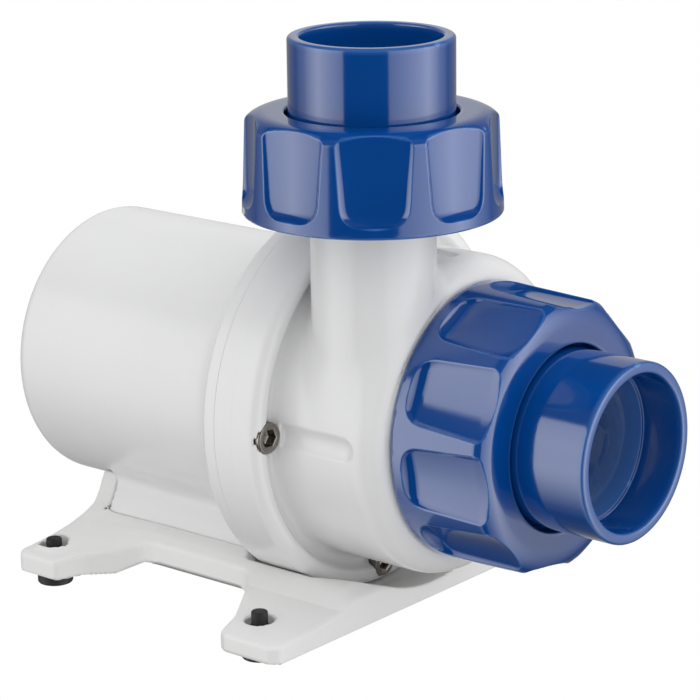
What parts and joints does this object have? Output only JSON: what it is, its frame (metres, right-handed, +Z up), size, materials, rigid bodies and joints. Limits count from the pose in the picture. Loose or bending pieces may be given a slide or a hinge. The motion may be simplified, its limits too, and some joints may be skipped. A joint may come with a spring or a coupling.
{
  "type": "pool pump",
  "caption": "Compact wet-rotor pool pump: white motor and volute on a footed base, with fluted union nuts and solvent-weld tailpieces on the inlet and outlet.",
  "frame": {"origin": "on the floor, below the middle of the whole pump", "axes": "+X along the pump axis towards the inlet, +Y across the pump away from the outlet, +Z up along the outlet"},
  "size_m": [0.2304, 0.154, 0.19],
  "materials": {
    "white_plastic": "glossy injection-moulded ABS",
    "base_plastic": "satin injection-moulded ABS",
    "blue_plastic": "glossy moulded PVC",
    "black_rubber": "satin EPDM",
    "stainless": "turned stainless steel",
    "brass": "knurled brass",
    "dark_plastic": "glass-filled engineering plastic",
    "ceramic": "ground alumina ceramic",
    "carbon": "carbon-filled bearing plastic",
    "light_plastic": "moulded POM",
    "magnet": "plastic-bonded ferrite",
    "lamination": "stacked electrical steel",
    "copper": "enamelled copper wire",
    "board": "glass-epoxy circuit board",
    "resin": "cast epoxy resin",
    "black_plastic": "satin nylon"
  },
  "bodies": {
    "pump": {"motor_housing": "white_plastic", "volute_casing": "white_plastic", "base": "base_plastic", "rubber_feet": "black_rubber", "base_screws": "stainless", "casing_screws": "stainless", "thread_inserts": "brass", "casing_oring": "black_rubber", "outlet_oring": "black_rubber", "inlet_oring": "black_rubber", "wear_ring": "carbon", "shaft_spider": "light_plastic", "rotor_can": "dark_plastic", "shaft": "ceramic", "front_shaft_rubber": "black_rubber", "rear_shaft_rubber": "black_rubber", "front_thrust_washer": "ceramic", "rear_thrust_washer": "ceramic", "stator_core": "lamination", "stator_windings": "copper", "circuit_board": "board", "board_parts": "black_plastic", "potting_plug": "resin", "cable_gland": "black_plastic", "gland_nut": "black_plastic", "gland_seal": "black_rubber"},
    "rotor": {"impeller": "dark_plastic", "rotor_magnet": "magnet", "rotor_sleeve": "dark_plastic", "front_bushing": "carbon", "rear_bushing": "carbon"},
    "outlet_tailpiece": {"outlet_tailpiece": "blue_plastic"},
    "outlet_nut": {"outlet_nut": "blue_plastic"},
    "inlet_tailpiece": {"inlet_tailpiece": "blue_plastic"},
    "inlet_nut": {"inlet_nut": "blue_plastic"}
  },
  "joints": [
    {"name": "rotor_spin", "type": "hinge", "parent": "pump", "child": "rotor", "pos_m": [0.03875, 0, 0.068], "axis": [1, 0, 0], "continuous": true},
    {"name": "outlet_lift", "type": "slide", "parent": "pump", "child": "outlet_tailpiece", "axis": [0, 0, 1], "range_m": [0, 0.02001]},
    {"name": "outlet_nut_turn", "type": "hinge", "parent": "outlet_tailpiece", "child": "outlet_nut", "pos_m": [0.03875, -0.029, 0.15], "axis": [0, 0, 1], "range_deg": [0, 1800]},
    {"name": "inlet_draw", "type": "slide", "parent": "pump", "child": "inlet_tailpiece", "axis": [1, 0, 0], "range_m": [0, 0.02251]},
    {"name": "inlet_nut_turn", "type": "hinge", "parent": "inlet_tailpiece", "child": "inlet_nut", "pos_m": [0.06875, 0, 0.068], "axis": [1, 0, 0], "range_deg": [0, 1800]}
  ],
  "couplings": [
    {"joint": "outlet_lift", "follows": "outlet_nut_turn", "m_per_rad": 0.00063662},
    {"joint": "inlet_draw", "follows": "inlet_nut_turn", "m_per_rad": 0.0007162}
  ]
}
